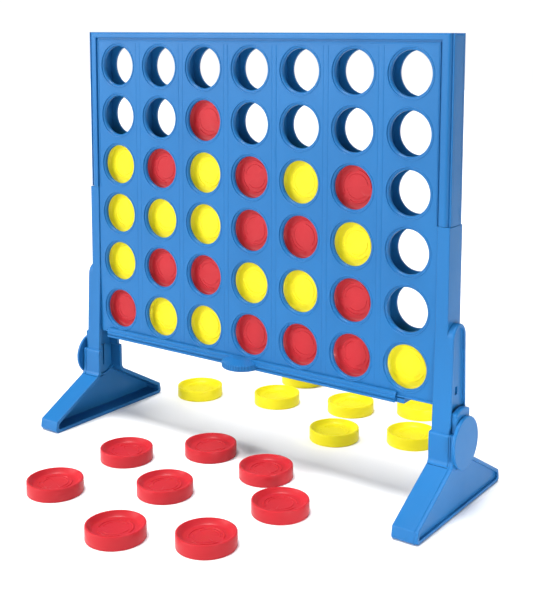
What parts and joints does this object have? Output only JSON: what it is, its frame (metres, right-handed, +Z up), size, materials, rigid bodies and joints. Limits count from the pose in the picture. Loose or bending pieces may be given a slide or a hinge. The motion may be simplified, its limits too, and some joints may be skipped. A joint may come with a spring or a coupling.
{
  "type": "four in a row game",
  "caption": "Upright slotted grid with round windows on two folding feet, with a sliding release bar under the columns and loose dished discs that drop into it.",
  "frame": {"origin": "on the table at the middle of the set's footprint: midway between the feet, in the grid's middle plane", "axes": "+Z up, +X to the right along the grid, -Y towards the front"},
  "size_m": [0.266, 0.2738, 0.2425],
  "materials": {
    "blue_plastic": "satin moulded",
    "red_plastic": "satin moulded",
    "yellow_plastic": "satin moulded"
  },
  "bodies": {
    "board": {"front_shell": "blue_plastic", "rear_shell": "blue_plastic", "column_dividers": "blue_plastic", "left_side_rail": "blue_plastic", "right_side_rail": "blue_plastic", "left_upright": "blue_plastic", "right_upright": "blue_plastic", "left_pivot_cap": "blue_plastic", "right_pivot_cap": "blue_plastic"},
    "release_slider": {"release_bar": "blue_plastic"},
    "left_foot": {"left_foot": "blue_plastic"},
    "right_foot": {"right_foot": "blue_plastic"},
    "red_disc_c1_r1": {"red_disc_c1_r1": "red_plastic"},
    "yellow_disc_c1_r2": {"yellow_disc_c1_r2": "yellow_plastic"},
    "yellow_disc_c1_r3": {"yellow_disc_c1_r3": "yellow_plastic"},
    "yellow_disc_c1_r4": {"yellow_disc_c1_r4": "yellow_plastic"},
    "yellow_disc_c2_r1": {"yellow_disc_c2_r1": "yellow_plastic"},
    "red_disc_c2_r2": {"red_disc_c2_r2": "red_plastic"},
    "yellow_disc_c2_r3": {"yellow_disc_c2_r3": "yellow_plastic"},
    "red_disc_c2_r4": {"red_disc_c2_r4": "red_plastic"},
    "yellow_disc_c3_r1": {"yellow_disc_c3_r1": "yellow_plastic"},
    "red_disc_c3_r2": {"red_disc_c3_r2": "red_plastic"},
    "yellow_disc_c3_r3": {"yellow_disc_c3_r3": "yellow_plastic"},
    "yellow_disc_c3_r4": {"yellow_disc_c3_r4": "yellow_plastic"},
    "red_disc_c3_r5": {"red_disc_c3_r5": "red_plastic"},
    "red_disc_c4_r1": {"red_disc_c4_r1": "red_plastic"},
    "yellow_disc_c4_r2": {"yellow_disc_c4_r2": "yellow_plastic"},
    "red_disc_c4_r3": {"red_disc_c4_r3": "red_plastic"},
    "red_disc_c4_r4": {"red_disc_c4_r4": "red_plastic"},
    "red_disc_c5_r1": {"red_disc_c5_r1": "red_plastic"},
    "yellow_disc_c5_r2": {"yellow_disc_c5_r2": "yellow_plastic"},
    "red_disc_c5_r3": {"red_disc_c5_r3": "red_plastic"},
    "yellow_disc_c5_r4": {"yellow_disc_c5_r4": "yellow_plastic"},
    "red_disc_c6_r1": {"red_disc_c6_r1": "red_plastic"},
    "red_disc_c6_r2": {"red_disc_c6_r2": "red_plastic"},
    "yellow_disc_c6_r3": {"yellow_disc_c6_r3": "yellow_plastic"},
    "red_disc_c6_r4": {"red_disc_c6_r4": "red_plastic"},
    "yellow_disc_c7_r1": {"yellow_disc_c7_r1": "yellow_plastic"},
    "red_disc_loose_1": {"red_disc_loose_1": "red_plastic"},
    "red_disc_loose_2": {"red_disc_loose_2": "red_plastic"},
    "red_disc_loose_3": {"red_disc_loose_3": "red_plastic"},
    "red_disc_loose_4": {"red_disc_loose_4": "red_plastic"},
    "red_disc_loose_5": {"red_disc_loose_5": "red_plastic"},
    "red_disc_loose_6": {"red_disc_loose_6": "red_plastic"},
    "red_disc_loose_7": {"red_disc_loose_7": "red_plastic"},
    "red_disc_loose_8": {"red_disc_loose_8": "red_plastic"},
    "yellow_disc_loose_1": {"yellow_disc_loose_1": "yellow_plastic"},
    "yellow_disc_loose_2": {"yellow_disc_loose_2": "yellow_plastic"},
    "yellow_disc_loose_3": {"yellow_disc_loose_3": "yellow_plastic"},
    "yellow_disc_loose_4": {"yellow_disc_loose_4": "yellow_plastic"},
    "yellow_disc_loose_5": {"yellow_disc_loose_5": "yellow_plastic"},
    "yellow_disc_loose_6": {"yellow_disc_loose_6": "yellow_plastic"},
    "yellow_disc_loose_7": {"yellow_disc_loose_7": "yellow_plastic"},
    "yellow_disc_loose_8": {"yellow_disc_loose_8": "yellow_plastic"}
  },
  "joints": [
    {"name": "release_slide", "type": "slide", "parent": "board", "child": "release_slider", "axis": [1, 0, 0], "range_m": [0, 0.0165]},
    {"name": "left_foot_fold", "type": "hinge", "parent": "board", "child": "left_foot", "pos_m": [-0.1275, 0, 0.037], "axis": [1, 0, 0], "range_deg": [0, 90]},
    {"name": "right_foot_fold", "type": "hinge", "parent": "board", "child": "right_foot", "pos_m": [0.1275, 0, 0.037], "axis": [1, 0, 0], "range_deg": [0, 90]},
    {"name": "lift_c1_r4", "type": "slide", "parent": "yellow_disc_c1_r3", "child": "yellow_disc_c1_r4", "axis": [0, 0, 1], "range_m": [0, 0.0912]},
    {"name": "lift_c2_r4", "type": "slide", "parent": "yellow_disc_c2_r3", "child": "red_disc_c2_r4", "axis": [0, 0, 1], "range_m": [0, 0.0912]},
    {"name": "lift_c3_r5", "type": "slide", "parent": "yellow_disc_c3_r4", "child": "red_disc_c3_r5", "axis": [0, 0, 1], "range_m": [0, 0.0611]},
    {"name": "lift_c4_r4", "type": "slide", "parent": "red_disc_c4_r3", "child": "red_disc_c4_r4", "axis": [0, 0, 1], "range_m": [0, 0.0912]},
    {"name": "lift_c5_r4", "type": "slide", "parent": "red_disc_c5_r3", "child": "yellow_disc_c5_r4", "axis": [0, 0, 1], "range_m": [0, 0.0912]},
    {"name": "lift_c6_r4", "type": "slide", "parent": "yellow_disc_c6_r3", "child": "red_disc_c6_r4", "axis": [0, 0, 1], "range_m": [0, 0.0912]},
    {"name": "lift_c7_r1", "type": "slide", "parent": "board", "child": "yellow_disc_c7_r1", "axis": [0, 0, 1], "range_m": [0, 0.1815]},
    {"name": "lift_c1_r1", "type": "slide", "parent": "board", "child": "red_disc_c1_r1", "axis": [0, 0, 1], "range_m": [0, 0.0602]},
    {"name": "lift_c1_r2", "type": "slide", "parent": "red_disc_c1_r1", "child": "yellow_disc_c1_r2", "axis": [0, 0, 1], "range_m": [0, 0.0602]},
    {"name": "lift_c1_r3", "type": "slide", "parent": "yellow_disc_c1_r2", "child": "yellow_disc_c1_r3", "axis": [0, 0, 1], "range_m": [0, 0.0602]},
    {"name": "lift_c2_r1", "type": "slide", "parent": "board", "child": "yellow_disc_c2_r1", "axis": [0, 0, 1], "range_m": [0, 0.0602]},
    {"name": "lift_c2_r2", "type": "slide", "parent": "yellow_disc_c2_r1", "child": "red_disc_c2_r2", "axis": [0, 0, 1], "range_m": [0, 0.0602]},
    {"name": "lift_c2_r3", "type": "slide", "parent": "red_disc_c2_r2", "child": "yellow_disc_c2_r3", "axis": [0, 0, 1], "range_m": [0, 0.0602]},
    {"name": "lift_c3_r1", "type": "slide", "parent": "board", "child": "yellow_disc_c3_r1", "axis": [0, 0, 1], "range_m": [0, 0.0301]},
    {"name": "lift_c3_r2", "type": "slide", "parent": "yellow_disc_c3_r1", "child": "red_disc_c3_r2", "axis": [0, 0, 1], "range_m": [0, 0.0301]},
    {"name": "lift_c3_r3", "type": "slide", "parent": "red_disc_c3_r2", "child": "yellow_disc_c3_r3", "axis": [0, 0, 1], "range_m": [0, 0.0301]},
    {"name": "lift_c3_r4", "type": "slide", "parent": "yellow_disc_c3_r3", "child": "yellow_disc_c3_r4", "axis": [0, 0, 1], "range_m": [0, 0.0301]},
    {"name": "lift_c4_r1", "type": "slide", "parent": "board", "child": "red_disc_c4_r1", "axis": [0, 0, 1], "range_m": [0, 0.0602]},
    {"name": "lift_c4_r2", "type": "slide", "parent": "red_disc_c4_r1", "child": "yellow_disc_c4_r2", "axis": [0, 0, 1], "range_m": [0, 0.0602]},
    {"name": "lift_c4_r3", "type": "slide", "parent": "yellow_disc_c4_r2", "child": "red_disc_c4_r3", "axis": [0, 0, 1], "range_m": [0, 0.0602]},
    {"name": "lift_c5_r1", "type": "slide", "parent": "board", "child": "red_disc_c5_r1", "axis": [0, 0, 1], "range_m": [0, 0.0602]},
    {"name": "lift_c5_r2", "type": "slide", "parent": "red_disc_c5_r1", "child": "yellow_disc_c5_r2", "axis": [0, 0, 1], "range_m": [0, 0.0602]},
    {"name": "lift_c5_r3", "type": "slide", "parent": "yellow_disc_c5_r2", "child": "red_disc_c5_r3", "axis": [0, 0, 1], "range_m": [0, 0.0602]},
    {"name": "lift_c6_r1", "type": "slide", "parent": "board", "child": "red_disc_c6_r1", "axis": [0, 0, 1], "range_m": [0, 0.0602]},
    {"name": "lift_c6_r2", "type": "slide", "parent": "red_disc_c6_r1", "child": "red_disc_c6_r2", "axis": [0, 0, 1], "range_m": [0, 0.0602]},
    {"name": "lift_c6_r3", "type": "slide", "parent": "red_disc_c6_r2", "child": "yellow_disc_c6_r3", "axis": [0, 0, 1], "range_m": [0, 0.0602]},
    {"name": "pick_up_red_1", "type": "slide", "parent": "board", "child": "red_disc_loose_1", "axis": [0, 0, 1], "range_m": [0, 0.03]},
    {"name": "pick_up_red_2", "type": "slide", "parent": "board", "child": "red_disc_loose_2", "axis": [0, 0, 1], "range_m": [0, 0.03]},
    {"name": "pick_up_red_3", "type": "slide", "parent": "board", "child": "red_disc_loose_3", "axis": [0, 0, 1], "range_m": [0, 0.03]},
    {"name": "pick_up_red_4", "type": "slide", "parent": "board", "child": "red_disc_loose_4", "axis": [0, 0, 1], "range_m": [0, 0.03]},
    {"name": "pick_up_red_5", "type": "slide", "parent": "board", "child": "red_disc_loose_5", "axis": [0, 0, 1], "range_m": [0, 0.03]},
    {"name": "pick_up_red_6", "type": "slide", "parent": "board", "child": "red_disc_loose_6", "axis": [0, 0, 1], "range_m": [0, 0.03]},
    {"name": "pick_up_red_7", "type": "slide", "parent": "board", "child": "red_disc_loose_7", "axis": [0, 0, 1], "range_m": [0, 0.03]},
    {"name": "pick_up_red_8", "type": "slide", "parent": "board", "child": "red_disc_loose_8", "axis": [0, 0, 1], "range_m": [0, 0.03]},
    {"name": "pick_up_yellow_1", "type": "slide", "parent": "board", "child": "yellow_disc_loose_1", "axis": [0, 0, 1], "range_m": [0, 0.03]},
    {"name": "pick_up_yellow_2", "type": "slide", "parent": "board", "child": "yellow_disc_loose_2", "axis": [0, 0, 1], "range_m": [0, 0.03]},
    {"name": "pick_up_yellow_3", "type": "slide", "parent": "board", "child": "yellow_disc_loose_3", "axis": [0, 0, 1], "range_m": [0, 0.03]},
    {"name": "pick_up_yellow_4", "type": "slide", "parent": "board", "child": "yellow_disc_loose_4", "axis": [0, 0, 1], "range_m": [0, 0.03]},
    {"name": "pick_up_yellow_5", "type": "slide", "parent": "board", "child": "yellow_disc_loose_5", "axis": [0, 0, 1], "range_m": [0, 0.03]},
    {"name": "pick_up_yellow_6", "type": "slide", "parent": "board", "child": "yellow_disc_loose_6", "axis": [0, 0, 1], "range_m": [0, 0.03]},
    {"name": "pick_up_yellow_7", "type": "slide", "parent": "board", "child": "yellow_disc_loose_7", "axis": [0, 0, 1], "range_m": [0, 0.03]},
    {"name": "pick_up_yellow_8", "type": "slide", "parent": "yellow_disc_loose_7", "child": "yellow_disc_loose_8", "axis": [0, 0, 1], "range_m": [0, 0.03]}
  ]
}
